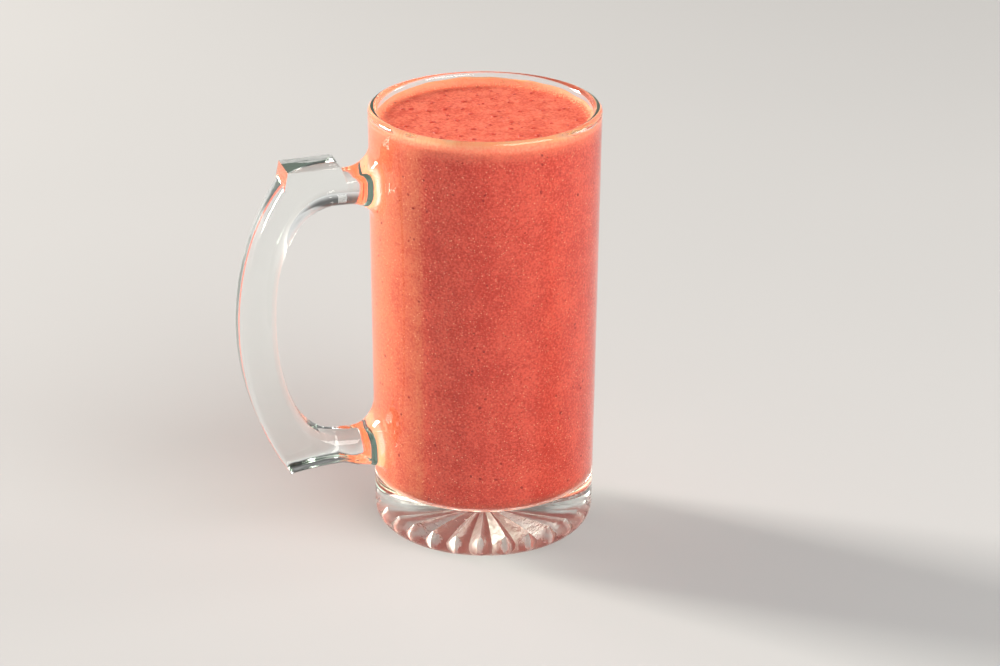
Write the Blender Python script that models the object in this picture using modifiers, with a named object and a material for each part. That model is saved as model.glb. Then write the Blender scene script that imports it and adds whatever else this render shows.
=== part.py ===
"""A strawberry lemonade, blended thick, in its tall pressed-glass mug.

Two pieces: the mug, which is one casting of body, handle and thumb rest, and the
drink, a solid that fills it nearly to the brim. The handle points along -X. The
origin is under the middle of the whole object's box, on the surface it stands on.
"""

import math
import random

import bmesh
import bpy
from mathutils import Vector, noise
from mathutils.geometry import interpolate_bezier

# Driving sizes, in metres. Handle sizes are measured from the body's axis.
HEIGHT = 0.176
RIM_RADIUS = 0.0457
HANDLE_REACH = 0.0998
DRINK_GAP = 0.0003

# Body: the wall tapers a little, and grows thicker towards the heavy base.
WALL_FOOT_RADIUS = 0.0443
LIP_ROUND = 0.0018
LIP_WALL = 0.0036
HEEL_ROUND = 0.0077
WELL_FLOOR = 0.0192
WELL_FOOT_RADIUS = 0.0402
WELL_ROUND = 0.0075

# Underside: a flat ring to stand on, round a hollow pressed into a star of flat rays.
FOOT_INNER_RADIUS = 0.0310
STAR_RADIUS = 0.0270
STAR_PEAK = 0.0122
STAR_CREST_EDGE = 0.0060
STAR_VALLEY_EDGE = 0.0010
STAR_RAYS = 20

# Handle: a bar of rounded rectangular section between an outer and an inner line,
# with larger rounds on the inner side, where the fingers go.
# A curve's leans are the offsets of its two handles from its ends.
HANDLE_WIDTH = 0.017
OUTER_EDGE = 0.0026
GRIP_EDGE = 0.0060
BOW_RADIUS = 0.110
BOW_MID_Z = 0.092
UPPER_ARM_TOP = 0.1536
UPPER_ARM_UNDER = 0.1418
LOWER_ARM_TOP = 0.0450
LOWER_ARM_UNDER = 0.0336
LOWER_ROOT_UNDER = 0.0320
SPUR_Z = 0.0312
SPUR_LEANS = ((0.007, 0.0014), (-0.008, 0.0))
WAIST_X = -0.060
GRIP_TOP = (-0.060, UPPER_ARM_UNDER)
GRIP_MIDDLE = (-0.0849, 0.0950)
GRIP_BOTTOM = (-0.061, LOWER_ARM_TOP)
GRIP_UPPER_LEANS = ((-0.015, 0.0), (0.0, 0.031))
GRIP_LOWER_LEANS = ((0.0, -0.030), (-0.014, 0.0))
ROOT_LENGTH = 0.010
ROOT_EDGE = 0.006
UPPER_FLARE = (0.0088, 0.0080, 0.0054)  # over, under and to each side, at the wall
LOWER_FLARE = (0.0034, 0.0100, 0.0088)
ROOT_CAP_RADIUS = 0.0438

# Thumb rest: a block on the upper arm, its top a little tilted, with a ramp to the body.
REST_TOP = (0.1584, 0.1591)
REST_LEFT = -0.0806
REST_RIGHT = -0.0610
REST_RAMP = 0.0038
REST_BACK = 0.0016
REST_STEP = 0.0008
REST_SUNK = 0.003
REST_CORNER = 0.0022
REST_EDGE = 0.0009

# Drink
DRINK_LEVEL = 0.1710
RIPPLE = 0.00025
RIPPLE_SIZE = 0.006
RIPPLE_CALM = 6  # the higher, the nearer to the glass the ripples reach
FLECK_COUNT = 54
FLECK_LENGTH = (0.0012, 0.0028)
FLECK_WIDTH_SHARE = (0.6, 0.9)
FLECK_HALF_HEIGHT = 0.00035
FLECK_MARGIN = 0.004
FLECK_SHAKE = 0.001

# Sides of the turned shapes
MUG_STEPS = 80
DRINK_STEPS = 60

# The body's axis lies off the origin by half of what the handle adds.
AXIS_X = (HANDLE_REACH - RIM_RADIUS) / 2


def clear_scene():
    for obj in list(bpy.data.objects):
        bpy.data.objects.remove(obj)


def new_collection(name):
    collection = bpy.data.collections.new(name)
    bpy.context.scene.collection.children.link(collection)
    return collection


def material(name, colour, roughness, transmission=0.0):
    made = bpy.data.materials.new(name)
    made.use_nodes = True
    shader = made.node_tree.nodes["Principled BSDF"]
    shader.inputs["Base Color"].default_value = (*colour, 1.0)
    shader.inputs["Roughness"].default_value = roughness
    shader.inputs["Transmission Weight"].default_value = transmission
    made.diffuse_color = (*colour, 1.0)
    return made


def arc(centre, radius, start, end, steps):
    """Points (x, z) on a circle, from one angle in degrees to another."""
    angles = [math.radians(start + (end - start) * i / steps) for i in range(steps + 1)]
    return [(centre[0] + radius * math.cos(a), centre[1] + radius * math.sin(a)) for a in angles]


def curve(start, lean_start, lean_end, end, steps):
    """Points (x, z) on one cubic curve; each lean is the offset of an end's handle."""
    knots = [Vector((*p, 0.0)) for p in (start, end)]
    handles = [knots[0] + Vector((*lean_start, 0.0)), knots[1] + Vector((*lean_end, 0.0))]
    points = interpolate_bezier(knots[0], handles[0], handles[1], knots[1], steps + 1)
    return [(p.x, p.y) for p in points]


def line(start, end, steps):
    return [
        (start[0] + (end[0] - start[0]) * i / steps, start[1] + (end[1] - start[1]) * i / steps)
        for i in range(steps + 1)
    ]


def evaluated_mesh(obj):
    graph = bpy.context.evaluated_depsgraph_get()
    return bpy.data.meshes.new_from_object(obj.evaluated_get(graph))


def turned(name, profile, steps, collection):
    """A closed solid of revolution about Z from (radius, z) points, outer side downwards."""
    mesh = bpy.data.meshes.new(name)
    mesh.from_pydata(
        [(r, 0.0, z) for r, z in profile], [(i, i + 1) for i in range(len(profile) - 1)], []
    )
    obj = bpy.data.objects.new(name, mesh)
    collection.objects.link(obj)
    screw = obj.modifiers.new("turn", "SCREW")
    screw.steps = screw.render_steps = steps
    screw.use_merge_vertices = True
    screw.merge_threshold = 1e-5
    obj.data = evaluated_mesh(obj)
    obj.modifiers.remove(screw)
    return obj


def join(obj, collection):
    """Fuses every object of a collection to obj and removes them."""
    union = obj.modifiers.new("join", "BOOLEAN")
    union.operation = "UNION"
    union.operand_type = "COLLECTION"
    union.collection = collection
    union.solver = "EXACT"
    obj.data = evaluated_mesh(obj)
    obj.modifiers.remove(union)
    for piece in list(collection.objects):
        bpy.data.objects.remove(piece)
    bpy.data.collections.remove(collection)


def shade(obj, finish, angle):
    obj.data.materials.clear()
    obj.data.materials.append(finish)
    obj.data.shade_smooth()
    obj.data.set_sharp_from_angle(angle=math.radians(angle))


# ---------------------------------------------------------------- the mug's body


def wall_radius(z):
    """The outside of the tapering wall."""
    share = (z - HEEL_ROUND) / (HEIGHT - HEEL_ROUND)
    return WALL_FOOT_RADIUS + (RIM_RADIUS - WALL_FOOT_RADIUS) * share


def well_radius(z):
    """The inside of the wall."""
    share = (z - WELL_FLOOR) / (HEIGHT - WELL_FLOOR)
    return WELL_FOOT_RADIUS + (RIM_RADIUS - LIP_WALL - WELL_FOOT_RADIUS) * share


def body_profile():
    lip_z = HEIGHT - LIP_ROUND
    lip = arc((RIM_RADIUS - LIP_ROUND, lip_z), LIP_ROUND, 180, 0, 10)
    wall = line((wall_radius(lip_z), lip_z), (WALL_FOOT_RADIUS, HEEL_ROUND), 8)
    heel = arc((WALL_FOOT_RADIUS - HEEL_ROUND, HEEL_ROUND), HEEL_ROUND, 0, -90, 7)
    foot = [(FOOT_INNER_RADIUS, 0.0)]
    star = line((STAR_RADIUS, STAR_VALLEY_EDGE), (0.0, STAR_PEAK), 3)
    floor_z = WELL_FLOOR + WELL_ROUND
    corner = arc((well_radius(floor_z) - WELL_ROUND, floor_z), WELL_ROUND, -90, 0, 6)
    well = [(0.0, WELL_FLOOR)] + corner
    well += line((well_radius(floor_z), floor_z), (well_radius(lip_z), lip_z), 6)[1:-1]
    return well + lip + wall[1:] + heel[1:] + foot + star


def star_height(radius, angle):
    """The star's underside: flat rays that meet in crests and valleys, all from one peak."""
    half_ray = math.pi / STAR_RAYS
    off_crest = abs((angle + half_ray) % (2 * half_ray) - half_ray)
    crest_fall = (STAR_PEAK - STAR_CREST_EDGE) / STAR_RADIUS
    valley_fall = (STAR_PEAK - STAR_VALLEY_EDGE) / STAR_RADIUS
    fall = crest_fall * math.sin(half_ray - off_crest) + valley_fall * math.sin(off_crest)
    return STAR_PEAK - radius * fall / math.sin(half_ray)


def press_star(mesh):
    for vertex in mesh.vertices:
        x, y, z = vertex.co
        radius = math.hypot(x, y)
        if z < STAR_PEAK + 1e-5 and radius < STAR_RADIUS + 1e-5:
            vertex.co.z = star_height(radius, math.atan2(y, x))


def make_body(parts):
    body = turned("glass_mug", body_profile(), MUG_STEPS, parts)
    press_star(body.data)
    return body


# ---------------------------------------------------------------- handle and thumb rest


def bow_point(angle):
    """A point on the handle's outer bow, by its angle above the bow's middle."""
    centre_x = BOW_RADIUS - HANDLE_REACH
    return (
        centre_x - BOW_RADIUS * math.cos(angle),
        BOW_MID_Z + BOW_RADIUS * math.sin(angle),
    )


def root_stations(z):
    """(x, growth) out of the wall at height z: a quarter ellipse of flare, then the plain arm."""
    face = wall_radius(z)
    turns = [math.radians(90 - 15 * i) for i in range(7)]
    flare = [(-face - ROOT_LENGTH * (1 - math.sin(t)), 1 - math.cos(t)) for t in turns]
    return [(-ROOT_CAP_RADIUS, 1.0)] + flare


def outer_line(upper, lower):
    """The handle's outer side, from the upper arm's root round to the lower arm's."""
    top = math.asin((UPPER_ARM_TOP - BOW_MID_Z) / BOW_RADIUS)
    spur = math.asin((SPUR_Z - BOW_MID_Z) / BOW_RADIUS)
    root = [(x, UPPER_ARM_TOP) for x, _ in upper]
    arm = line(root[-1], bow_point(top), 7)
    bow = [bow_point(top + (spur - top) * i / 20) for i in range(21)]
    under = curve(bow[-1], *SPUR_LEANS, (WAIST_X, LOWER_ARM_UNDER), 5)
    end = [(x, LOWER_ROOT_UNDER) for x, _ in reversed(lower)]
    return root + arm[1:] + bow[1:] + under[1:] + end


def inner_line(upper, lower):
    """The side that the fingers go through, paired point by point with outer_line."""
    root = [(x, UPPER_ARM_UNDER) for x, _ in upper]
    above = curve(GRIP_TOP, *GRIP_UPPER_LEANS, GRIP_MIDDLE, 16)
    below = curve(GRIP_MIDDLE, *GRIP_LOWER_LEANS, GRIP_BOTTOM, 15)
    end = [(x, LOWER_ARM_TOP) for x, _ in reversed(lower)]
    return root + above + below[1:] + end


def section(outer, inner, growth, flare):
    """One rounded rectangle across the bar. Its corners are in order round the section."""
    over, under, side = flare
    outer, inner = Vector(outer), Vector(inner)
    across = (outer - inner).normalized()
    outer = outer + across * over * growth
    inner = inner - across * under * growth
    middle = (outer + inner) / 2
    half_width = HANDLE_WIDTH / 2 + side * growth
    half_depth = (outer - inner).length / 2
    ring = []
    for quarter, (sign_y, sign_d) in enumerate(((1, 1), (-1, 1), (-1, -1), (1, -1))):
        edge = (OUTER_EDGE if sign_d > 0 else GRIP_EDGE) + ROOT_EDGE * growth
        for along, out in arc((0.0, 0.0), edge, 90 * quarter, 90 * quarter + 90, 4):
            place = middle + across * (sign_d * (half_depth - edge) + out)
            ring.append(Vector((place.x, sign_y * (half_width - edge) + along, place.y)))
    return ring


def onto_wall(point):
    """Bends a root's section so that its end lies along the round wall."""
    face = wall_radius(point.z)
    share = min(max((point.x + face + ROOT_LENGTH) / ROOT_LENGTH, 0.0), 1.0)
    bend = face - math.sqrt(face**2 - point.y**2)
    return Vector((point.x + bend * share, point.y, point.z))


def make_handle(joined):
    """A loft of sections, closed at the ends that sink into the body's wall."""
    upper = root_stations((UPPER_ARM_TOP + UPPER_ARM_UNDER) / 2)
    lower = root_stations((LOWER_ARM_TOP + LOWER_ARM_UNDER) / 2)
    pairs = list(zip(outer_line(upper, lower), inner_line(upper, lower), strict=True))
    bar = [0.0] * (len(pairs) - len(upper) - len(lower))
    growths = [g for _, g in upper] + bar + [g for _, g in reversed(lower)]
    shape = bmesh.new()
    rings = []
    for i, ((outer, inner), growth) in enumerate(zip(pairs, growths)):
        flare = UPPER_FLARE if i < len(upper) else LOWER_FLARE
        points = section(outer, inner, growth, flare)
        rings.append([shape.verts.new(onto_wall(p)) for p in points])
    for ring, following in zip(rings, rings[1:]):
        for i, vertex in enumerate(ring):
            j = (i + 1) % len(ring)
            shape.faces.new((vertex, ring[j], following[j], following[i]))
    for ring in (rings[0], rings[-1]):
        shape.faces.new(ring)
    bmesh.ops.remove_doubles(shape, verts=shape.verts, dist=1e-6)
    bmesh.ops.triangulate(shape, faces=[f for f in shape.faces if len(f.verts) > 4])
    bmesh.ops.recalc_face_normals(shape, faces=shape.faces)
    mesh = bpy.data.meshes.new("handle")
    shape.to_mesh(mesh)
    shape.free()
    joined.objects.link(bpy.data.objects.new("handle", mesh))


def make_thumb_rest(joined):
    """The block's side outline, extruded across the arm with a small bevel round it."""
    bottom = UPPER_ARM_TOP - REST_SUNK
    toe = REST_RIGHT + REST_RAMP
    outline = [(REST_LEFT - REST_BACK, bottom), (REST_LEFT, REST_TOP[0])]
    outline += arc((REST_RIGHT, REST_TOP[1] - REST_CORNER), REST_CORNER, 90, 30, 4)
    outline += [(toe, UPPER_ARM_TOP - REST_STEP), (toe, bottom)]
    path = bpy.data.curves.new("thumb_rest", "CURVE")
    path.dimensions = "2D"
    path.fill_mode = "BOTH"
    path.extrude = HANDLE_WIDTH / 2 - REST_EDGE
    path.bevel_depth = REST_EDGE
    path.bevel_resolution = 1
    path.offset = -REST_EDGE
    spline = path.splines.new("POLY")
    spline.points.add(len(outline) - 1)
    for point, (x, z) in zip(spline.points, outline):
        point.co = (x, z, 0.0, 1.0)
    spline.use_cyclic_u = True
    guide = bpy.data.objects.new("thumb_rest", path)
    joined.objects.link(guide)
    guide.rotation_euler.x = math.radians(90)
    bpy.context.view_layer.update()
    block = bpy.data.objects.new("thumb_rest_block", evaluated_mesh(guide))
    block.matrix_world = guide.matrix_world
    bpy.data.objects.remove(guide)
    shape = bmesh.new()
    shape.from_mesh(block.data)
    bmesh.ops.remove_doubles(shape, verts=shape.verts, dist=1e-6)
    bmesh.ops.recalc_face_normals(shape, faces=shape.faces)
    shape.to_mesh(block.data)
    shape.free()
    joined.objects.link(block)


def make_mug(parts):
    body = make_body(parts)
    joined = new_collection("fused_glass")
    make_handle(joined)
    make_thumb_rest(joined)
    join(body, joined)
    shade(body, material("clear_glass", (0.95, 0.97, 0.96), 0.02, transmission=1.0), 35)
    body.location.x = AXIS_X
    return body


# ---------------------------------------------------------------- the drink


def drink_radius(z):
    return well_radius(z) - DRINK_GAP


def drink_profile():
    floor_z = WELL_FLOOR + WELL_ROUND
    top = [(r, DRINK_LEVEL) for r, _ in line((0, 0), (drink_radius(DRINK_LEVEL), 0), 10)]
    side = line((drink_radius(DRINK_LEVEL), DRINK_LEVEL), (drink_radius(floor_z), floor_z), 4)
    corner_radius = WELL_ROUND - DRINK_GAP
    centre = (drink_radius(floor_z) - corner_radius, floor_z)
    return top + side[1:] + arc(centre, corner_radius, 0, -90, 5)[1:] + [(0.0, WELL_FLOOR + DRINK_GAP)]


def surface_height(x, y):
    """The blended drink's slightly lumpy top, level where it meets the glass."""
    calm = 1.0 - (math.hypot(x, y) / drink_radius(DRINK_LEVEL)) ** RIPPLE_CALM
    lump = noise.noise(Vector((x, y, 0.0)) / RIPPLE_SIZE)
    return DRINK_LEVEL + RIPPLE * lump * max(calm, 0.0)


def ripple(mesh):
    for vertex in mesh.vertices:
        x, y, z = vertex.co
        if z > DRINK_LEVEL - 1e-5:
            vertex.co.z = surface_height(x, y)


def scatter_flecks(joined):
    """Strawberry pulp: flat grains on a sunflower spiral, shaken a little, half sunk."""
    draw = random.Random(5)
    field = drink_radius(DRINK_LEVEL) - FLECK_MARGIN
    for i in range(FLECK_COUNT):
        shake = draw.uniform(-FLECK_SHAKE, FLECK_SHAKE)
        radius = field * math.sqrt((i + 0.5) / FLECK_COUNT) + shake
        angle = i * math.radians(137.5) + draw.uniform(-0.2, 0.2)
        x, y = radius * math.cos(angle), radius * math.sin(angle)
        half_length = draw.uniform(*FLECK_LENGTH) / 2
        half_width = half_length * draw.uniform(*FLECK_WIDTH_SHARE)
        shape = bmesh.new()
        bmesh.ops.create_uvsphere(shape, u_segments=6, v_segments=4, radius=1.0)
        mesh = bpy.data.meshes.new("fleck")
        shape.to_mesh(mesh)
        shape.free()
        fleck = bpy.data.objects.new(f"fleck_{i}", mesh)
        fleck.scale = (half_length, half_width, FLECK_HALF_HEIGHT)
        fleck.rotation_euler.z = draw.uniform(0, math.pi)
        fleck.location = (x, y, surface_height(x, y))
        joined.objects.link(fleck)


def make_drink(parts):
    drink = turned("lemonade", drink_profile(), DRINK_STEPS, parts)
    ripple(drink.data)
    flecks = new_collection("fused_pulp")
    scatter_flecks(flecks)
    bpy.context.view_layer.update()
    join(drink, flecks)
    shade(drink, material("strawberry_lemonade", (0.78, 0.15, 0.08), 0.35), 40)
    drink.location.x = AXIS_X
    return drink


def main():
    clear_scene()
    parts = new_collection("strawberry_lemonade")
    make_mug(parts)
    make_drink(parts)
    bpy.context.view_layer.update()


main()
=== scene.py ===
"""The looks of a strawberry lemonade, blended thick, in its tall pressed-glass mug."""

import math
import random

import bmesh
import bpy
from mathutils import Matrix, Vector, noise
from mathutils.geometry import interpolate_bezier


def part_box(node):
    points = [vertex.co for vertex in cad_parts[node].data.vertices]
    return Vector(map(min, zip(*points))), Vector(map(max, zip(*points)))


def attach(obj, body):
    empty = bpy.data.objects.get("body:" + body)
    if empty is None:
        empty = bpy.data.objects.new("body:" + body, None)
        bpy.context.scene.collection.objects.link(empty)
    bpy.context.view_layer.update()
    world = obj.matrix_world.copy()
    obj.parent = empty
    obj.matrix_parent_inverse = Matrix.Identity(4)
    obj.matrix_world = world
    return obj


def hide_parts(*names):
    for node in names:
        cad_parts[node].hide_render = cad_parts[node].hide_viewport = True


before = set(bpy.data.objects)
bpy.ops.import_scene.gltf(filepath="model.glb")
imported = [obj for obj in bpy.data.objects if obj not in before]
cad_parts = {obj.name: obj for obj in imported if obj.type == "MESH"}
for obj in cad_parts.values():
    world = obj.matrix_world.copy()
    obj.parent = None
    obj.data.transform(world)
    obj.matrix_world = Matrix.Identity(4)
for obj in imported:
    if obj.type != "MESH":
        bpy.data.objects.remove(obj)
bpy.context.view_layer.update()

# ---------------------------------------------------------------- the mug's body
# A turned shell of clear soda-lime glass: a wall that thickens downwards to a heavy base,
# and a rounded lip. It is turned here, and fused with the handle further down.

mug_low, mug_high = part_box("glass_mug")
height = mug_high.z
rim_radius = mug_high.y
axis_x = mug_high.x - rim_radius
wall_foot_radius = 0.0443
lip_round = 0.0018
lip_wall = 0.0036
heel_round = 0.0077
well_floor = 0.0192
well_foot_radius = 0.0402
well_round = 0.0075
foot_inner_radius = 0.0310
star_radius = 0.0270
star_peak = 0.0122
valley_edge = 0.0010
mug_steps = 240  # six for each half ray of the star


def arc(centre, radius, start, end, steps):
    """Points (x, z) on a circle, from one angle in degrees to another."""
    angles = [math.radians(start + (end - start) * i / steps) for i in range(steps + 1)]
    return [(centre[0] + radius * math.cos(a), centre[1] + radius * math.sin(a)) for a in angles]


def line(start, end, steps):
    """Points (x, z) along a straight line."""
    shares = [i / steps for i in range(steps + 1)]
    return [tuple(a + (b - a) * share for a, b in zip(start, end)) for share in shares]


def wall_radius(z):
    """The outside of the tapering wall."""
    share = (z - heel_round) / (height - heel_round)
    return wall_foot_radius + (rim_radius - wall_foot_radius) * share


def well_radius(z):
    """The inside of the wall."""
    share = (z - well_floor) / (height - well_floor)
    return well_foot_radius + (rim_radius - lip_wall - well_foot_radius) * share


def new_object(name, mesh):
    made = bpy.data.objects.new(name, mesh)
    bpy.context.scene.collection.objects.link(made)
    return made


def apply_modifiers(piece):
    """Makes the mesh that the modifiers give the piece's own."""
    graph = bpy.context.evaluated_depsgraph_get()
    piece.data = bpy.data.meshes.new_from_object(piece.evaluated_get(graph))
    piece.modifiers.clear()


def turned(name, profile, steps):
    """A solid of revolution about Z from (radius, z) points."""
    mesh = bpy.data.meshes.new(name)
    edges = [(i, i + 1) for i in range(len(profile) - 1)]
    mesh.from_pydata([(r, 0.0, z) for r, z in profile], edges, [])
    piece = new_object(name, mesh)
    screw = piece.modifiers.new("turn", "SCREW")
    screw.steps = screw.render_steps = steps
    screw.use_merge_vertices = True
    screw.merge_threshold = 1e-6
    apply_modifiers(piece)
    return piece


lip_z = height - lip_round
bend_z = well_floor + well_round
bend_centre = (well_radius(bend_z) - well_round, bend_z)
well = line((0.0, well_floor), (bend_centre[0], well_floor), 8)
well += arc(bend_centre, well_round, -90, 0, 16)[1:]
well += line((well_radius(bend_z), bend_z), (well_radius(lip_z), lip_z), 30)[1:-1]
lip = arc((rim_radius - lip_round, lip_z), lip_round, 180, 0, 24)
wall = line((wall_radius(lip_z), lip_z), (wall_foot_radius, heel_round), 56)
heel = arc((wall_foot_radius - heel_round, heel_round), heel_round, 0, -90, 18)
foot = line((heel[-1][0], 0.0), (foot_inner_radius, 0.0), 2)
hollow = line((star_radius, valley_edge), (0.0, star_peak), 9)
mug = turned("mug", well + lip + wall[1:] + heel[1:] + foot[1:] + hollow, mug_steps)

# ---------------------------------------------------------------- the star in the base
# Twenty flat rays are pressed into the underside. They run from crests and valleys at the
# edge of the hollow up to one peak, and catch the light like a cut stone.

star_rays = 20
crest_edge = 0.0060


class Wire:
    """A node's output. Arithmetic on it adds Math nodes to the tree that it is in."""

    def __init__(self, socket, tree):
        self.socket, self.tree = socket, tree

    def other(self, name):
        """Another output of the same node."""
        return Wire(self.socket.node.outputs[name], self.tree)

    def of(self, operation, *values):
        return self.tree.maths(operation, self, *values)

    def __add__(self, value):
        return self.of("ADD", value)

    def __sub__(self, value):
        return self.of("SUBTRACT", value)

    def __rsub__(self, value):
        return self.tree.maths("SUBTRACT", value, self)

    def __mul__(self, value):
        return self.of("MULTIPLY", value)

    def __truediv__(self, value):
        return self.of("DIVIDE", value)

    def __rtruediv__(self, value):
        return self.tree.maths("DIVIDE", value, self)

    def __lt__(self, value):
        return self.of("LESS_THAN", value)

    def __gt__(self, value):
        return self.of("GREATER_THAN", value)

    __radd__, __rmul__ = __add__, __mul__


class Tree:
    """Adds nodes to a node tree, each from its type, its settings and its inputs."""

    def __init__(self, nodes):
        self.nodes = nodes

    def add(self, kind, settings=None, inputs=None, output=0):
        node = self.nodes.nodes.new(kind)
        for name, value in (settings or {}).items():
            setattr(node, name, value)
        for name, value in (inputs or {}).items():
            if isinstance(value, Wire):
                self.nodes.links.new(value.socket, node.inputs[name])
            else:
                node.inputs[name].default_value = value
        return Wire(node.outputs[output] if node.outputs else None, self)

    def maths(self, operation, *values):
        return self.add("ShaderNodeMath", {"operation": operation}, dict(enumerate(values)))


def shape_tree(name, sizes):
    """A Geometry Nodes tree with a named input for each size: (tree, mesh, size wires)."""
    group = bpy.data.node_groups.new(name, "GeometryNodeTree")
    group.interface.new_socket("Mesh", in_out="INPUT", socket_type="NodeSocketGeometry")
    group.interface.new_socket("Mesh", in_out="OUTPUT", socket_type="NodeSocketGeometry")
    for title in sizes:
        group.interface.new_socket(title, in_out="INPUT", socket_type="NodeSocketFloat")
    tree = Tree(group)
    mesh = tree.add("NodeGroupInput")
    return tree, mesh, {title: mesh.other(title) for title in sizes}


def run_tree(piece, tree, result, sizes):
    """Ends the tree, gives its inputs their sizes and applies it to the piece."""
    tree.add("NodeGroupOutput", None, {0: result})
    modifier = piece.modifiers.new(tree.nodes.name, "NODES")
    modifier.node_group = tree.nodes
    for item in tree.nodes.interface.items_tree:
        if item.in_out == "INPUT" and item.name in sizes:
            modifier[item.identifier] = float(sizes[item.name])
    apply_modifiers(piece)


star = {
    "Rays": star_rays,
    "Radius": star_radius,
    "Peak": star_peak,
    "Crest edge": crest_edge,
    "Valley edge": valley_edge,
}
tree, mesh, size = shape_tree("press_star", star)
x = tree.add("ShaderNodeSeparateXYZ", None, {0: tree.add("GeometryNodeInputPosition")})
y, z = x.other("Y"), x.other("Z")
radius = (x * x + y * y).of("SQRT")
half_ray = math.pi / size["Rays"]
off_crest = y.of("ARCTAN2", x).of("PINGPONG", half_ray)
crest_fall = (size["Peak"] - size["Crest edge"]) / size["Radius"]
valley_fall = (size["Peak"] - size["Valley edge"]) / size["Radius"]
fall = crest_fall * (half_ray - off_crest).of("SINE") + valley_fall * off_crest.of("SINE")
pressed = size["Peak"] - radius * fall / half_ray.of("SINE")
under = (radius < size["Radius"] + 1e-5) * (z < size["Peak"] + 1e-5)
place = tree.add("ShaderNodeCombineXYZ", None, {0: x, 1: y, 2: pressed})
moved = {"Geometry": mesh, "Selection": under, "Position": place}
run_tree(mug, tree, tree.add("GeometryNodeSetPosition", None, moved), star)

# ---------------------------------------------------------------- the handle
# A bar of rounded rectangular section between an outer bow and an inner grip line, rounder
# on the grip side. It flares into the wall at both roots, and the bow ends in a spur.

reach = axis_x - mug_low.x
handle_width = 0.017
outer_edge = 0.0026
grip_edge = 0.0060
bow_radius = 0.110
bow_mid_z = 0.092
upper_arm_top = 0.1536
upper_arm_under = 0.1418
lower_arm_top = 0.0450
lower_arm_under = 0.0336
lower_root_under = 0.0320
spur_z = 0.0312
spur_leans = ((0.007, 0.0014), (-0.008, 0.0))
waist_x = -0.060
grip_top = (-0.060, upper_arm_under)
grip_middle = (-0.0849, 0.0950)
grip_bottom = (-0.061, lower_arm_top)
grip_upper_leans = ((-0.015, 0.0), (0.0, 0.031))
grip_lower_leans = ((0.0, -0.030), (-0.014, 0.0))
root_length = 0.010
root_edge = 0.006
root_cap_radius = 0.0438
upper_flare = (0.0088, 0.0080, 0.0054)  # over, under and to each side, at the wall
lower_flare = (0.0034, 0.0100, 0.0088)


def curve(start, lean_start, lean_end, end, steps):
    """Points (x, z) on one cubic curve; each lean is the offset of an end's handle."""
    knots = [Vector((*p, 0.0)) for p in (start, end)]
    handles = [knots[0] + Vector((*lean_start, 0.0)), knots[1] + Vector((*lean_end, 0.0))]
    points = interpolate_bezier(knots[0], handles[0], handles[1], knots[1], steps + 1)
    return [(p.x, p.y) for p in points]


def bow_point(angle):
    """A point on the outer bow, by its angle above the bow's middle."""
    return (
        bow_radius - reach - bow_radius * math.cos(angle),
        bow_mid_z + bow_radius * math.sin(angle),
    )


def root_stations(z):
    """(x, growth) out of the wall at height z, along a quarter ellipse of flare."""
    face = wall_radius(z)
    turns = [math.radians(90 - 7.5 * i) for i in range(13)]
    flare = [(-face - root_length * (1 - math.sin(t)), 1 - math.cos(t)) for t in turns]
    return [(-root_cap_radius, 1.0)] + flare


def bar_section(outer, inner, growth, flare):
    """One rounded rectangle across the bar."""
    over, beneath, side = flare
    outer, inner = Vector(outer), Vector(inner)
    across = (outer - inner).normalized()
    outer = outer + across * over * growth
    inner = inner - across * beneath * growth
    middle = (outer + inner) / 2
    half_width = handle_width / 2 + side * growth
    half_depth = (outer - inner).length / 2
    ring = []
    for quarter, (sign_y, sign_d) in enumerate(((1, 1), (-1, 1), (-1, -1), (1, -1))):
        edge = (outer_edge if sign_d > 0 else grip_edge) + root_edge * growth
        for along, out in arc((0.0, 0.0), edge, 90 * quarter, 90 * quarter + 90, 8):
            spot = middle + across * (sign_d * (half_depth - edge) + out)
            ring.append(Vector((spot.x, sign_y * (half_width - edge) + along, spot.y)))
    return ring


def onto_wall(point):
    """Bends a root's section so that its end lies along the round wall."""
    face = wall_radius(point.z)
    share = min(max((point.x + face + root_length) / root_length, 0.0), 1.0)
    bend = face - math.sqrt(face**2 - point.y**2)
    return Vector((point.x + bend * share, point.y, point.z))


def closed_mesh(shape, name):
    """A bmesh with its doubles merged and its normals outwards, as a mesh."""
    bmesh.ops.remove_doubles(shape, verts=shape.verts, dist=1e-6)
    bmesh.ops.recalc_face_normals(shape, faces=shape.faces)
    mesh = bpy.data.meshes.new(name)
    shape.to_mesh(mesh)
    shape.free()
    return mesh


upper_root = root_stations((upper_arm_top + upper_arm_under) / 2)
lower_root = root_stations((lower_arm_top + lower_arm_under) / 2)
bow_top = math.asin((upper_arm_top - bow_mid_z) / bow_radius)
bow_end = math.asin((spur_z - bow_mid_z) / bow_radius)
bow = [bow_point(bow_top + (bow_end - bow_top) * i / 60) for i in range(61)]
outer_line = [(x, upper_arm_top) for x, _ in upper_root]
outer_line += line(outer_line[-1], bow[0], 21)[1:] + bow[1:]
outer_line += curve(bow[-1], *spur_leans, (waist_x, lower_arm_under), 15)[1:]
outer_line += [(x, lower_root_under) for x, _ in reversed(lower_root)]
inner_line = [(x, upper_arm_under) for x, _ in upper_root]
inner_line += curve(grip_top, *grip_upper_leans, grip_middle, 50)
inner_line += curve(grip_middle, *grip_lower_leans, grip_bottom, 45)[1:]
inner_line += [(x, lower_arm_top) for x, _ in reversed(lower_root)]
plain_bar = [0.0] * (len(outer_line) - len(upper_root) - len(lower_root))
growths = [g for _, g in upper_root] + plain_bar + [g for _, g in reversed(lower_root)]
bar = bmesh.new()
rings = []
for i, (outer, inner, growth) in enumerate(zip(outer_line, inner_line, growths, strict=True)):
    flare = upper_flare if i < len(upper_root) else lower_flare
    ring = bar_section(outer, inner, growth, flare)
    rings.append([bar.verts.new(onto_wall(point)) for point in ring])
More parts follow.
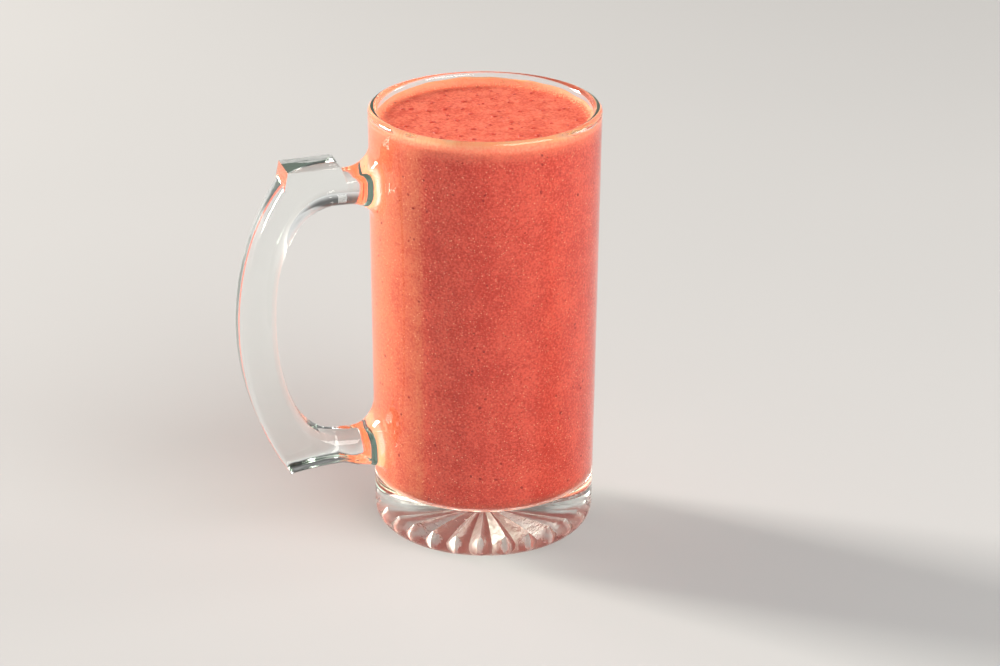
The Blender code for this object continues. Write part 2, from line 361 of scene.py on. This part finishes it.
for ring, following in zip(rings, rings[1:]):
    for i, corner in enumerate(ring):
        j = (i + 1) % len(ring)
        bar.faces.new((corner, ring[j], following[j], following[i]))
for ring in (rings[0], rings[-1]):
    bar.faces.new(ring)
handle = new_object("handle", closed_mesh(bar, "handle"))

# ---------------------------------------------------------------- the thumb rest
# A block on the upper arm, its top a little tilted, with a ramp towards the body. It is
# part of the same casting, so body, handle and rest are fused to one skin of glass here.

rest_top = (0.1584, 0.1591)
rest_left = -0.0806
rest_right = -0.0610
rest_ramp = 0.0038
rest_back = 0.0016
rest_step = 0.0008
rest_sunk = 0.003
rest_corner = 0.0022
rest_edge = 0.0009
glass_crease = 35  # degrees


def fuse(piece, others):
    """Joins the other objects to the piece by one Boolean union."""
    joined = bpy.data.collections.new("fused")
    for other in others:
        joined.objects.link(other)
    union = piece.modifiers.new("fuse", "BOOLEAN")
    union.operation = "UNION"
    union.operand_type = "COLLECTION"
    union.collection = joined
    apply_modifiers(piece)
    for other in others:
        bpy.data.objects.remove(other)
    bpy.data.collections.remove(joined)


rest_bottom = upper_arm_top - rest_sunk
rest_toe = rest_right + rest_ramp
outline = [(rest_left - rest_back, rest_bottom), (rest_left, rest_top[0])]
outline += arc((rest_right, rest_top[1] - rest_corner), rest_corner, 90, 30, 8)
outline += [(rest_toe, upper_arm_top - rest_step), (rest_toe, rest_bottom)]
path = bpy.data.curves.new("thumb_rest", "CURVE")
path.dimensions = "2D"
path.fill_mode = "BOTH"
path.extrude = handle_width / 2 - rest_edge
path.bevel_depth = rest_edge
path.bevel_resolution = 4
path.offset = -rest_edge
spline = path.splines.new("POLY")
spline.points.add(len(outline) - 1)
for point, (x, z) in zip(spline.points, outline):
    point.co = (x, z, 0.0, 1.0)
spline.use_cyclic_u = True
thumb_rest = new_object("thumb_rest", path)
graph = bpy.context.evaluated_depsgraph_get()
block = bmesh.new()
block.from_mesh(bpy.data.meshes.new_from_object(thumb_rest.evaluated_get(graph)))
block.transform(Matrix.Rotation(math.radians(90), 4, "X"))
bpy.data.objects.remove(thumb_rest)
thumb_rest = new_object("thumb_rest", closed_mesh(block, "thumb_rest"))
fuse(mug, [handle, thumb_rest])
mug.data.transform(Matrix.Translation((axis_x, 0.0, 0.0)))
mug.data.shade_smooth()
mug.data.set_sharp_from_angle(angle=math.radians(glass_crease))

# ---------------------------------------------------------------- the glass
# Clear soda-lime glass, faintly green where it is thick. Pressing leaves slow waves down
# the wall, closer ripples on the handle, and a finely hammered, frosted face on the star.

glass_ior = 1.52
glass_green = (0.55, 0.90, 0.78, 1.0)
glass_green_density = 3.5
wave_length = 0.020
wave_height = 0.00006
wave_squeeze = (1.0, 1.0, 0.2)  # the waves are five times as long down the wall
ripple_length = 0.0045
ripple_height = 0.00005
ripples_begin = (0.040, 0.052)  # away from the axis, on the handle's side
hammer_length = 0.0024
hammer_height = 0.00024
star_roughness = 0.28
star_fade = 0.001
passed_light = (0.93, 0.95, 0.94, 1.0)
trapped_light = (0.26, 0.32, 0.28, 1.0)
deepest_bend = 8.5  # a ray that has been bent or mirrored more often goes straight on
most_mirrorings = 3.5


def new_finish(name):
    made = bpy.data.materials.new(name)
    made.use_nodes = True
    made.node_tree.nodes.clear()
    return made, Tree(made.node_tree)


def span(tree, value, low, high):
    """0 below low and 1 above high, smooth between them."""
    inputs = {"Value": value, "From Min": low, "From Max": high}
    return tree.add("ShaderNodeMapRange", {"interpolation_type": "SMOOTHSTEP"}, inputs)


def grain(tree, spots, length, detail, output=0):
    """Noise whose lumps are about the given length."""
    inputs = {"Vector": spots, "Scale": 1 / length, "Detail": detail}
    return tree.add("ShaderNodeTexNoise", None, inputs, output)


def centred(tree, stretch=(1.0, 1.0, 1.0)):
    """Object coordinates from the mug's axis, squeezed by stretch."""
    spots = tree.add("ShaderNodeTexCoord").other("Object")
    shift = (-axis_x * stretch[0], 0.0, 0.0)
    return tree.add("ShaderNodeMapping", None, {0: spots, "Location": shift, "Scale": stretch})


glass, tree = new_finish("clear_pressed_glass")
spots = centred(tree)
x = tree.add("ShaderNodeSeparateXYZ", None, {0: spots})
on_handle = span(tree, -1 * x, *ripples_begin)
waves = grain(tree, centred(tree, wave_squeeze), wave_length, 1.0) * wave_height
ripples = grain(tree, spots, ripple_length, 1.0) * on_handle * ripple_height
across = (x * x + x.other("Y") * x.other("Y")).of("SQRT")
within_foot = span(tree, across, foot_inner_radius, foot_inner_radius - star_fade)
on_star = span(tree, x.other("Z"), star_peak + star_fade, star_peak) * within_foot
hammered = grain(tree, spots, hammer_length, 2.0) * on_star * hammer_height
relief = {"Height": waves + ripples + hammered, "Strength": 1.0, "Distance": 1.0}
clear = {
    "Base Color": (1.0, 1.0, 1.0, 1.0),
    "Roughness": on_star * star_roughness,
    "IOR": glass_ior,
    "Transmission Weight": 1.0,
    "Normal": tree.add("ShaderNodeBump", None, relief),
}
bent = tree.add("ShaderNodeBsdfPrincipled", None, clear)
straight = tree.add("ShaderNodeBsdfTransparent", None, {0: passed_light})
ray = tree.add("ShaderNodeLightPath")
unbent = ray.other("Is Shadow Ray").of("MAXIMUM", ray.other("Is Diffuse Ray"))
much_mirrored = ray.other("Glossy Depth") > most_mirrorings
trapped = (ray.other("Ray Depth") > deepest_bend).of("MAXIMUM", much_mirrored)
onward = tree.add("ShaderNodeBsdfTransparent", None, {0: trapped_light})
leaking = tree.add("ShaderNodeMixShader", None, {0: trapped, 1: bent, 2: onward})
skin = tree.add("ShaderNodeMixShader", None, {0: unbent, 1: leaking, 2: straight})
body = {"Color": glass_green, "Density": glass_green_density}
depth = tree.add("ShaderNodeVolumeAbsorption", None, body)
tree.add("ShaderNodeOutputMaterial", None, {"Surface": skin, "Volume": depth})
mug.data.materials.clear()
mug.data.materials.append(glass)
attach(mug, "root")
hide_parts("glass_mug")

# ---------------------------------------------------------------- the drink
# Lemonade blended thick with strawberries. It reaches just into the glass, so that no air
# shows between them, climbs a little where it wets the wall, and has a slightly lumpy top.

drink_level = 0.1710
wall_reach = 0.0002
ripple = 0.00025
ripple_size = 0.006
ripple_calm = 6
lump = 0.00007
lump_size = 0.0016
foam_climb = (0.0016, 0.0034)
foam_climb_width = 0.0010
foam_climb_shake = 0.0005
foam_climb_size = 0.008
foam_side = Vector((-0.276, -0.961))  # the foam clings highest here and opposite
fine_ring = 0.004  # the top's mesh is finer this near to the wall
side_drop = 0.0005
drink_steps = 240


def drink_radius(z):
    return well_radius(z) + wall_reach


def surface_height(x, y):
    """The top of the drink at a point measured from the mug's axis."""
    radius = math.hypot(x, y)
    calm = max(1.0 - (radius / drink_radius(drink_level)) ** ripple_calm, 0.0)
    ripples = ripple * noise.noise(Vector((x, y, 0.0)) / ripple_size)
    lumps = lump * noise.fractal(Vector((x, y, 0.0)) / lump_size, 1.0, 2.0, 3)
    share = (foam_side.dot((x, y)) / drink_radius(drink_level)) ** 2
    climb = foam_climb[0] + (foam_climb[1] - foam_climb[0]) * share
    climb += foam_climb_shake * noise.noise(Vector((x, y, 0.0)) / foam_climb_size)
    by_wall = math.exp((radius - drink_radius(drink_level)) / foam_climb_width)
    return drink_level + (ripples + lumps) * calm + climb * by_wall


drink_edge = drink_radius(drink_level)
top = line((0.0, drink_level), (drink_edge - fine_ring, drink_level), 60)
top += line((drink_edge - fine_ring, drink_level), (drink_edge, drink_level), 16)[1:]
side = line((drink_edge, drink_level - side_drop), (drink_radius(bend_z), bend_z), 60)
bottom = arc((drink_radius(bend_z) - well_round, bend_z), well_round, 0, -90, 16)
middle = line((bottom[-1][0], well_floor - wall_reach), (0.0, well_floor - wall_reach), 8)
drink = turned("drink", top + side + bottom[1:] + middle, drink_steps)
for corner in drink.data.vertices:
    if corner.co.z > drink_level - 1e-5:
        corner.co.z = surface_height(corner.co.x, corner.co.y)
drink.data.transform(Matrix.Translation((axis_x, 0.0, 0.0)))
drink.data.shade_smooth()

# Its colour is a coral pink, paler where fine foam gathers at the top's edge, and mottled all
# through by fruit bits and by bubbles too small to model. On the handle's side, towards the
# key lamp, a peach band of painted light stands for the lamp's glow and sheen on the drink.


def paint(red, green, blue):
    """A linear colour from its values on a screen, 0 to 255."""
    shares = [channel / 255 for channel in (red, green, blue)]
    return tuple(((s + 0.055) / 1.055) ** 2.4 if s > 0.04 else s / 12.92 for s in shares) + (1.0,)


coral_deep = paint(197, 47, 36)
coral = paint(229, 85, 66)
coral_top_deep = paint(196, 79, 63)
coral_top = paint(224, 114, 92)
# painted light: the paler colour of the drink's side where the key lamp falls
lit_side_peach = paint(212, 114, 78)
foam_low = paint(246, 128, 98)
foam_high = paint(248, 160, 126)
bubble_pale = paint(250, 170, 126)
fruit_red = paint(160, 36, 26)
foam_width = (0.0016, 0.0036)
wide_side = Vector((-0.75, 0.65))  # the ring of foam is widest here
foam_depth = 0.0012
# the side that the key lamp lights; the painted light lies towards it
key_lit_side = Vector((-0.961, 0.276))
lit_band_begins = (0.505, 0.585)  # the painted light begins towards that side, as a share of the radius
lit_band_ends = (-0.5, 0.1)  # the painted light fades out away from the foam's side
lit_band_strength = (0.2, 0.7)
lit_band_gain = 0.4  # how much stronger the painted light gets far to that side
lit_band_gain_span = (0.72, 0.95)
tone_span = (0.38, 0.62)
subsurface = {
    "Subsurface Weight": 0.3,
    "Subsurface Radius": (1.0, 0.30, 0.16),
    "Subsurface Scale": 0.003,
}
drink_ior = 1.34
speck_size = 0.0022
bubble_size = 0.0009


def blend(tree, share, first, second):
    """One colour into another."""
    mixed = {0: share, 6: first, 7: second}
    return tree.add("ShaderNodeMix", {"data_type": "RGBA"}, mixed, 2)


def dots(tree, spots, size, radius, share):
    """1 in round dots, one in some of the cells of a given size, and 0 outside them."""
    cell = tree.add("ShaderNodeTexVoronoi", None, {"Vector": spots, "Scale": 1 / size})
    chance = tree.add("ShaderNodeSeparateColor", None, {0: cell.other("Color")})
    return (1 - span(tree, cell, radius * 0.6, radius)) * (chance < share)


def fine_marks(tree, spots, colour):
    """Fruit bits too small to model, and bubbles, over a colour."""
    bits = dots(tree, spots, speck_size, 0.18, 0.25)
    bubbles = dots(tree, spots, bubble_size, 0.28, 0.5)
    colour = blend(tree, bits * 0.5, colour, fruit_red)
    return blend(tree, bubbles * 0.35, colour, bubble_pale)


by_glass, tree = new_finish("lemonade_against_glass")
spots = centred(tree)
up = tree.add("ShaderNodeSeparateXYZ", None, {0: spots}).other("Z")
ragged = (grain(tree, spots, 0.0010, 3.0) - 0.5) * 0.0036
clouds = grain(tree, spots, 0.011, 2.0)
streaks = grain(tree, centred(tree, (1.0, 1.0, 0.03)), 0.010, 2.0)
mottle = grain(tree, spots, 0.0009, 2.0)
tone = span(tree, clouds * 0.25 + streaks * 0.2 + mottle * 0.55, *tone_span)
colour = blend(tree, tone, coral_deep, coral)
x = tree.add("ShaderNodeSeparateXYZ", None, {0: spots})
# A peach band of painted light on the side towards the key lamp, with ragged edges, stronger where
# the coral is lighter and far to that side.
sideways = (x * key_lit_side.x + x.other("Y") * key_lit_side.y) / drink_edge
lit_band_edge = sideways + (streaks - 0.5) * 0.06 + (mottle - 0.5) * 0.10
forwards = (x * foam_side.x + x.other("Y") * foam_side.y) / drink_edge
lit_band = span(tree, lit_band_edge, *lit_band_begins) * span(tree, forwards, *lit_band_ends)
lit_band_share = lit_band_strength[0] + tone * (lit_band_strength[1] - lit_band_strength[0])
lit_band_share = lit_band_share + span(tree, sideways, *lit_band_gain_span) * lit_band_gain
colour = blend(tree, lit_band * lit_band_share, colour, lit_side_peach)
colour = fine_marks(tree, spots, colour)
near_top = span(tree, up + ragged * 2, drink_level - 0.006, drink_level)
colour = blend(tree, near_top * 0.5, colour, foam_low)
in_foam = span(tree, up + ragged, drink_level - foam_depth, drink_level + 0.0006)
pale = span(tree, up + (mottle - 0.5) * 0.006, drink_level, drink_level + 0.003)
pale = blend(tree, pale, foam_low, foam_high)
colour = blend(tree, in_foam, colour, pale)
wetting = {
    "Base Color": colour,
    "Roughness": 0.08,
    "IOR": drink_ior / glass_ior,
    **subsurface,
    "Sheen Weight": 0.7,
    "Sheen Roughness": 0.5,
    "Sheen Tint": (1.0, 0.72, 0.45, 1.0),
}
skin = tree.add("ShaderNodeBsdfPrincipled", None, wetting)
tree.add("ShaderNodeOutputMaterial", None, {"Surface": skin})

on_top, tree = new_finish("lemonade_top")
spots = centred(tree)
x = tree.add("ShaderNodeSeparateXYZ", None, {0: spots})
radius = (x * x + x.other("Y") * x.other("Y")).of("SQRT")
ragged = (grain(tree, spots, 0.0012, 3.0) - 0.5) * 0.0022
mottle = grain(tree, spots, 0.0011, 3.0)
clouds = grain(tree, spots, 0.009, 2.0)
tone = span(tree, clouds * 0.35 + mottle * 0.65, *tone_span)
colour = fine_marks(tree, spots, blend(tree, tone, coral_top_deep, coral_top))
sideways = 0.5 + 0.5 * (x * wide_side.x + x.other("Y") * wide_side.y) / drink_edge
width = foam_width[0] + (foam_width[1] - foam_width[0]) * sideways
inner, out = drink_edge - width, radius + ragged
colour = blend(tree, span(tree, out, inner - 0.0015, inner + 0.0015), colour, foam_low)
colour = blend(tree, span(tree, out, inner + 0.0005, drink_edge - 0.0003), colour, foam_high)
froth = {"Height": grain(tree, spots, 0.0007, 3.0) * 0.00006, "Strength": 1.0, "Distance": 1.0}
open_top = {
    "Base Color": colour,
    "Roughness": 0.8,
    "IOR": drink_ior,
    "Specular IOR Level": 0.25,
    **subsurface,
    "Normal": tree.add("ShaderNodeBump", None, froth),
}
skin = tree.add("ShaderNodeBsdfPrincipled", None, open_top)
tree.add("ShaderNodeOutputMaterial", None, {"Surface": skin})
for finish in (by_glass, on_top):
    drink.data.materials.append(finish)
for face in drink.data.polygons:
    face.material_index = int(face.normal.z > 0.1)
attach(drink, "root")
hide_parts("lemonade")

# ---------------------------------------------------------------- strawberry pulp
# Dark red flecks of fruit, flat and ragged. The large ones float half sunk on a spiral
# shaken at random, the small ones lie between them and against the glass.

fleck_count = 54
fleck_length = (0.0012, 0.0028)
fleck_width_share = (0.6, 0.9)
fleck_half_height = 0.00035
fleck_margin = 0.004
fleck_shake = 0.001
fleck_turn_shake = 0.2
golden_turn = math.radians(137.5)
pulp_deep = paint(184, 48, 36)
pulp_pale = paint(212, 80, 60)
wetted_deep = paint(146, 30, 22)
wetted_pale = paint(182, 54, 42)
pulp_grain = 0.0012
pulp_span = (0.35, 0.65)

pulp, tree = new_finish("strawberry_pulp")
spots = centred(tree)
shade = span(tree, grain(tree, spots, pulp_grain, 2.0), *pulp_span)
fruit = {
    "Base Color": blend(tree, shade, pulp_deep, pulp_pale),
    "Roughness": 0.35,
}
skin = tree.add("ShaderNodeBsdfPrincipled", None, fruit)
tree.add("ShaderNodeOutputMaterial", None, {"Surface": skin})

pulp_wetted, tree = new_finish("strawberry_pulp_against_glass")
shade = span(tree, grain(tree, centred(tree), pulp_grain, 2.0), *pulp_span)
wetted = {
    "Base Color": blend(tree, shade, wetted_deep, wetted_pale),
    "Roughness": 0.5,
    "IOR": 1.02,
}
skin = tree.add("ShaderNodeBsdfPrincipled", None, wetted)
tree.add("ShaderNodeOutputMaterial", None, {"Surface": skin})

draw = random.Random(5)
field = well_radius(drink_level) - 0.0003 - fleck_margin
places, values = [], {"turn": [], "half_length": [], "half_width": []}
for i in range(fleck_count):
    shake = draw.uniform(-fleck_shake, fleck_shake)
    radius = field * math.sqrt((i + 0.5) / fleck_count) + shake
    angle = i * golden_turn + draw.uniform(-fleck_turn_shake, fleck_turn_shake)
    x, y = radius * math.cos(angle), radius * math.sin(angle)
    places.append((axis_x + x, y, surface_height(x, y)))
    values["half_length"].append(draw.uniform(*fleck_length) / 2)
    values["half_width"].append(values["half_length"][-1] * draw.uniform(*fleck_width_share))
    values["turn"].append(draw.uniform(0, math.pi))
points = bpy.data.meshes.new("pulp_on_top")
points.from_pydata(places, [], [])
for title, numbers in values.items():
    points.attributes.new(title, "FLOAT", "POINT").data.foreach_set("value", numbers)
flecks = new_object("pulp_on_top", points)

raggedness = {"Height": fleck_half_height, "Ragged": 0.00022, "Ragged size": 0.0007}
tree, mesh, size = shape_tree("lay_flecks", raggedness)
told = {}
for title in values:
    told[title] = tree.add("GeometryNodeInputNamedAttribute", None, {"Name": title})
ball = tree.add("GeometryNodeMeshIcoSphere", None, {"Radius": 1.0, "Subdivisions": 3})
stretch = {0: told["half_length"], 1: told["half_width"], 2: size["Height"]}
laid = {
    "Points": mesh,
    "Instance": ball,
    "Rotation": tree.add("ShaderNodeCombineXYZ", None, {2: told["turn"]}),
    "Scale": tree.add("ShaderNodeCombineXYZ", None, stretch),
}
spread_out = tree.add("GeometryNodeInstanceOnPoints", None, laid)
loose = tree.add("GeometryNodeRealizeInstances", None, {0: spread_out})
tear = tree.add("ShaderNodeTexNoise", None, {"Scale": 1 / size["Ragged size"], "Detail": 1.0}, 1)
middle = tree.add("ShaderNodeVectorMath", {"operation": "SUBTRACT"}, {0: tear, 1: (0.5, 0.5, 0.5)})
offset = {0: middle, "Scale": size["Ragged"] * 2}
push = tree.add("ShaderNodeVectorMath", {"operation": "SCALE"}, offset)
torn = tree.add("GeometryNodeSetPosition", None, {"Geometry": loose, "Offset": push})
smooth = tree.add("GeometryNodeSetShadeSmooth", None, {0: torn})
coloured = tree.add("GeometryNodeSetMaterial", None, {0: smooth, "Material": pulp})
run_tree(flecks, tree, coloured, raggedness)
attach(flecks, "root")


def scattered(name, host, finish, seed, rounds, sizes):
    """Small round grains over the part of a host's skin between two heights and radii."""
    tree, mesh, size = shape_tree(name, sizes)
    spot = tree.add("ShaderNodeSeparateXYZ", None, {0: tree.add("GeometryNodeInputPosition")})
    x, y, z = spot - axis_x, spot.other("Y"), spot.other("Z")
    radius = (x * x + y * y).of("SQRT")
    where = (z > size["Lowest"]) * (z < size["Highest"])
    where = where * (radius > size["Inner"]) * (radius < size["Outer"])
    chosen = {"Mesh": mesh, "Selection": where, "Density": size["Density"], "Seed": seed}
    points = tree.add("GeometryNodeDistributePointsOnFaces", None, chosen)
    spread = {2: size["Smallest"], 3: size["Largest"], "Seed": seed}
    grown = tree.add("FunctionNodeRandomValue", None, spread, 1)
    lengthening = {2: 1.0, 3: size["Longest"], "Seed": seed + 1}
    longer = tree.add("FunctionNodeRandomValue", None, lengthening, 1)
    turning = {2: 0.0, 3: math.pi, "Seed": seed + 2}
    turn = tree.add("FunctionNodeRandomValue", None, turning, 1)
    stretch = {0: grown * longer, 1: grown, 2: grown * size["Flatness"]}
    ball = {"Radius": 0.5, "Subdivisions": rounds}
    laid = {
        "Points": points,
        "Instance": tree.add("GeometryNodeMeshIcoSphere", None, ball),
        "Rotation": points.other("Rotation"),
        "Scale": tree.add("ShaderNodeCombineXYZ", None, stretch),
    }
    grains = tree.add("GeometryNodeInstanceOnPoints", None, laid)
    spun = {0: grains, "Rotation": tree.add("ShaderNodeCombineXYZ", None, {2: turn})}
    turned_grains = tree.add("GeometryNodeRotateInstances", None, spun)
    loose = tree.add("GeometryNodeRealizeInstances", None, {0: turned_grains})
    smooth = tree.add("GeometryNodeSetShadeSmooth", None, {0: loose})
    piece = new_object(name, host.data.copy())
    coloured = tree.add("GeometryNodeSetMaterial", None, {0: smooth, "Material": finish})
    run_tree(piece, tree, coloured, sizes)
    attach(piece, "root")


on_surface = {"Lowest": drink_level - 0.0004, "Highest": height}
along_wall = {"Lowest": well_floor + 0.002, "Inner": 0.036, "Outer": 1.0}
scattered("pulp_bits_on_top", drink, pulp, 11, 2, {
    "Density": 20000.0, "Smallest": 0.0004, "Largest": 0.0010, "Longest": 1.8, "Flatness": 0.4,
    "Inner": 0.0, "Outer": drink_edge - 0.002, **on_surface,
})
scattered("pulp_by_glass", drink, pulp_wetted, 23, 2, {
    "Density": 6000.0, "Smallest": 0.0004, "Largest": 0.0011, "Longest": 1.6, "Flatness": 0.3,
    "Highest": drink_level - 0.002, **along_wall,
})

# ---------------------------------------------------------------- bubbles
# Tiny pale bubbles of air from the blender. They cling to the glass all the way down, and
# stand closest together in the ring where the top meets the wall.

froth_low = paint(242, 142, 102)
froth_high = paint(253, 186, 144)

froth, tree = new_finish("pale_bubbles")
shade = grain(tree, centred(tree), 0.004, 1.0)
bubble = {
    "Base Color": blend(tree, shade, froth_low, froth_high),
    "Roughness": 0.25,
}
skin = tree.add("ShaderNodeBsdfPrincipled", None, bubble)
tree.add("ShaderNodeOutputMaterial", None, {"Surface": skin})
scattered("bubbles_by_glass", drink, froth, 31, 1, {
    "Density": 90000.0, "Smallest": 0.00024, "Largest": 0.00055, "Longest": 1.0, "Flatness": 0.8,
    "Highest": drink_level - 0.001, **along_wall,
})
scattered("bubble_ring", drink, froth, 37, 2, {
    "Density": 1000000.0, "Smallest": 0.00025, "Largest": 0.00070, "Longest": 1.0, "Flatness": 0.8,
    "Inner": drink_edge - 0.0026, "Outer": drink_edge - 0.0003, **on_surface,
})

# ---------------------------------------------------------------- floor, light and camera
# A plain pale studio: one wide floor, a strong warm key low on the left, and soft lamps on
# the right and above the front. The sky is bright low down, and dark overhead and straight
# behind, which draws the glass's edges. Bearings are clockwise from the camera's side.

floor_half = 9.0
floor_fade = (1.3, 3.0)  # where the floor passes into the glow of the sky low down
floor_glow = (0.784, 0.776, 0.76, 1.0)
floor_tones = ((0.475, 0.485, 0.50, 1.0), (0.505, 0.515, 0.53, 1.0))
black = (0.0, 0.0, 0.0, 1.0)
camera_bearing = 16  # degrees, from the handle's plane
lens = 106.0
sensor = 36.0
camera_distance = 1.1775
camera_elevation = 22.197
aim_right = 0.006337
aim_z = height / 2 - 0.00761
camera_roll = 0.353
behind_way = Vector((0.276, 0.961))
behind_span = (0.85, 0.91)
behind_lift = 0.35
sky_span = (0.24, 0.62)
sky_colour = (0.98, 0.97, 0.95, 1.0)
sky_overhead = 0.12
sky_low_down = 0.68

turns = ((-1, -1), (1, -1), (1, 1), (-1, 1))
corners = [(floor_half * right, floor_half * back, 0.0) for right, back in turns]
sheet = bpy.data.meshes.new("floor")
sheet.from_pydata(corners, [], [(0, 1, 2, 3)])
floor = new_object("floor", sheet)
pale, tree = new_finish("pale_floor")
spots = tree.add("ShaderNodeTexCoord").other("Object")
x = tree.add("ShaderNodeSeparateXYZ", None, {0: spots})
far_off = span(tree, (x * x + x.other("Y") * x.other("Y")).of("SQRT"), *floor_fade)
tone = grain(tree, spots, 0.4, 2.0)
tone = blend(tree, tone, *floor_tones)
plain = {
    "Base Color": blend(tree, far_off, tone, black),
    "Roughness": 1.0,
    "Specular IOR Level": 0.0,
    "Emission Color": blend(tree, far_off, black, floor_glow),
    "Emission Strength": 1.0,
}
skin = tree.add("ShaderNodeBsdfPrincipled", None, plain)
tree.add("ShaderNodeOutputMaterial", None, {"Surface": skin})
sheet.materials.append(pale)

to_part = Matrix.Translation((axis_x, 0, 0)) @ Matrix.Rotation(math.radians(-camera_bearing), 4, "Z")


def round_mug(bearing, elevation, distance, z):
    """A point seen from the mug's axis at height z, in the part's frame."""
    b, e = math.radians(bearing), math.radians(elevation)
    out = Vector((-math.sin(b) * math.cos(e), -math.cos(b) * math.cos(e), math.sin(e)))
    return to_part @ (out * distance + Vector((0, 0, z)))


def softbox(name, bearing, elevation, distance, width, tall, radiance, tint):
    """A rectangular lamp that faces the mug and isn't itself in the picture."""
    lamp = bpy.data.lights.new(name, "AREA")
    lamp.shape = "RECTANGLE"
    lamp.size, lamp.size_y = width, tall
    lamp.energy = radiance * math.pi * width * tall
    lamp.color = tint
    made = new_object(name, lamp)
    made.location = round_mug(bearing, elevation, distance, height / 2)
    centre = Vector((axis_x, 0, height / 2))
    made.rotation_euler = (centre - made.location).to_track_quat("-Z", "Y").to_euler()
    made.visible_camera = False


warm, milder, mild = (1.0, 0.92, 0.82), (1.0, 0.93, 0.84), (1.0, 0.96, 0.90)
softbox("key", 114, 16, 3.0, 0.7, 1.2, 80.0, warm)
softbox("right", -106, 14, 2.0, 0.5, 0.8, 7.0, milder)
softbox("front", -48, 46, 1.8, 1.4, 1.0, 7.0, mild)

world = bpy.data.worlds.new("studio")
world.use_nodes = True
world.node_tree.nodes.clear()
tree = Tree(world.node_tree)
way = tree.add("ShaderNodeSeparateXYZ", None, {0: tree.add("ShaderNodeTexCoord")})
behind = span(tree, way * behind_way.x + way.other("Y") * behind_way.y, *behind_span)
low_down = 1 - span(tree, way.other("Z") + behind * behind_lift, *sky_span)
light = {"Color": sky_colour, "Strength": sky_overhead + sky_low_down * low_down}
sky = tree.add("ShaderNodeBackground", None, light)
tree.add("ShaderNodeOutputWorld", None, {0: sky})
bpy.context.scene.world = world
bpy.context.scene.view_settings.view_transform = "Standard"

eye = round_mug(0, camera_elevation, camera_distance, height / 2)
target = to_part @ Vector((aim_right, 0, aim_z))
camera_data = bpy.data.cameras.new("camera")
camera_data.lens, camera_data.sensor_width = lens, sensor
camera = new_object("camera", camera_data)
facing = (target - eye).to_track_quat("-Z", "Y").to_matrix().to_4x4()
roll = Matrix.Rotation(math.radians(camera_roll), 4, "Z")
camera.matrix_world = Matrix.Translation(eye) @ facing @ roll
bpy.context.scene.camera = camera
